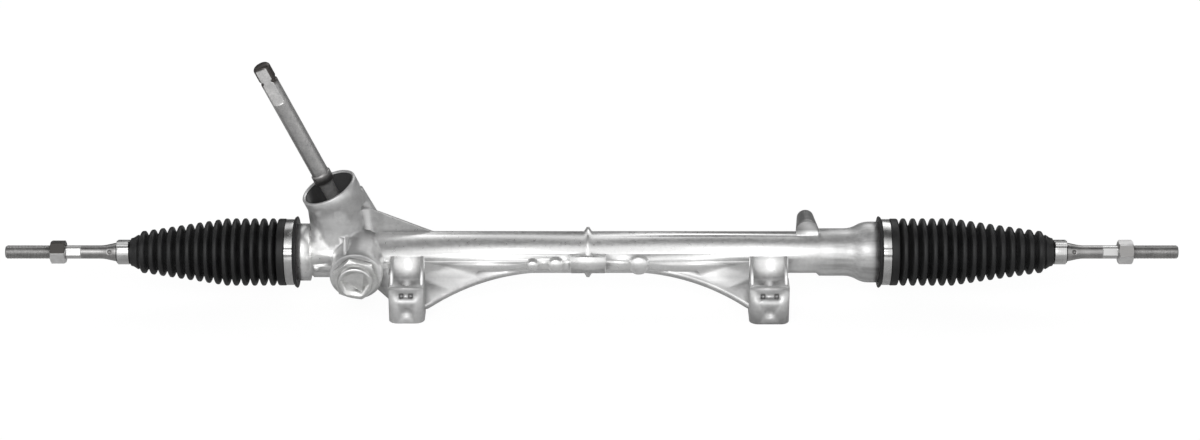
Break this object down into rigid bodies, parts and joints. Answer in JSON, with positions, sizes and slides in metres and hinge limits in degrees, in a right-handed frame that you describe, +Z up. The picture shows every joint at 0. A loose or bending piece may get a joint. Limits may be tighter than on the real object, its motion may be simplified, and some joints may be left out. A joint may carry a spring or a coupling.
{
  "type": "steering rack",
  "caption": "Manual rack-and-pinion steering rack: cast housing with feet and pinion tower, sliding toothed bar, rubber bellows and tie rods with threaded ends.",
  "frame": {"origin": "midway between the two mounting bolt holes, on the plane under the feet", "axes": "+X along the rack towards the plain end, +Y away from the feet, +Z up along the mounting bolts"},
  "size_m": [1.218, 0.1016, 0.2689],
  "materials": {
    "cast_aluminium": "satin as cast",
    "guide_aluminium": "machined",
    "ground_steel": "ground and polished",
    "shaft_steel": "turned, dull",
    "bearing_steel": "polished",
    "spring_steel": "oiled",
    "plated_steel": "zinc plated",
    "socket_steel": "turned",
    "rod_steel": "drawn, zinc plated",
    "clamp_steel": "bright band",
    "bellows_rubber": "glossy black",
    "black_rubber": "matt",
    "seal_rubber": "matt",
    "stop_rubber": "matt",
    "white_plastic": "moulded",
    "bronze_sheet": "sintered"
  },
  "bodies": {
    "housing": {"rack_housing": "cast_aluminium", "rack_bush": "white_plastic", "pinion_needle_bearing": "bearing_steel", "pinion_bearing_outer_ring": "bearing_steel", "pinion_ring_nut": "plated_steel", "pinion_oil_seal": "seal_rubber", "pinion_dust_cover": "black_rubber", "rack_guide": "guide_aluminium", "rack_guide_liner": "bronze_sheet", "rack_guide_o_ring": "seal_rubber", "rack_guide_spring": "spring_steel", "adjuster_plug": "plated_steel", "adjuster_lock_nut": "plated_steel", "left_rack_stop": "stop_rubber", "right_rack_stop": "stop_rubber", "left_bellows": "bellows_rubber", "right_bellows": "bellows_rubber", "left_bellows_big_clamp": "clamp_steel", "right_bellows_big_clamp": "clamp_steel"},
    "rack": {"rack_bar": "ground_steel", "left_lock_washer": "spring_steel", "right_lock_washer": "spring_steel", "left_ball_socket": "socket_steel", "right_ball_socket": "socket_steel"},
    "pinion": {"pinion_shaft": "shaft_steel", "pinion_bearing_inner_ring": "bearing_steel", "pinion_circlip": "spring_steel"},
    "left_liner": {"left_ball_liner": "white_plastic"},
    "left_tie_rod": {"left_tie_rod": "rod_steel", "left_tie_rod_lock_nut": "plated_steel", "left_bellows_small_clamp": "clamp_steel"},
    "right_liner": {"right_ball_liner": "white_plastic"},
    "right_tie_rod": {"right_tie_rod": "rod_steel", "right_tie_rod_lock_nut": "plated_steel", "right_bellows_small_clamp": "clamp_steel"}
  },
  "joints": [
    {"name": "rack_slide", "type": "slide", "parent": "housing", "child": "rack", "axis": [1, 0, 0], "range_m": [-0.0765, 0.0685], "deforming": ["left_bellows", "right_bellows"]},
    {"name": "pinion_spin", "type": "hinge", "parent": "housing", "child": "pinion", "pos_m": [-0.238, 0.05487, 0.05642], "axis": [-0.3955, -0.1199, 0.9106], "range_deg": [-627, 561.5]},
    {"name": "left_tie_rod_lift", "type": "hinge", "parent": "rack", "child": "left_liner", "pos_m": [-0.392, 0.0395, 0.0544], "axis": [0, 1, 0], "range_deg": [-20, 20], "deforming": ["left_bellows"]},
    {"name": "left_tie_rod_swing", "type": "hinge", "parent": "left_liner", "child": "left_tie_rod", "pos_m": [-0.392, 0.0395, 0.0544], "axis": [0, 0, 1], "range_deg": [-10, 10], "deforming": ["left_bellows"]},
    {"name": "right_tie_rod_lift", "type": "hinge", "parent": "rack", "child": "right_liner", "pos_m": [0.4, 0.0395, 0.0544], "axis": [0, 1, 0], "range_deg": [-20, 20], "deforming": ["right_bellows"]},
    {"name": "right_tie_rod_swing", "type": "hinge", "parent": "right_liner", "child": "right_tie_rod", "pos_m": [0.4, 0.0395, 0.0544], "axis": [0, 0, 1], "range_deg": [-10, 10], "deforming": ["right_bellows"]}
  ],
  "couplings": [
    {"joint": "pinion_spin", "follows": "rack_slide", "rad_per_m": 142.86}
  ]
}
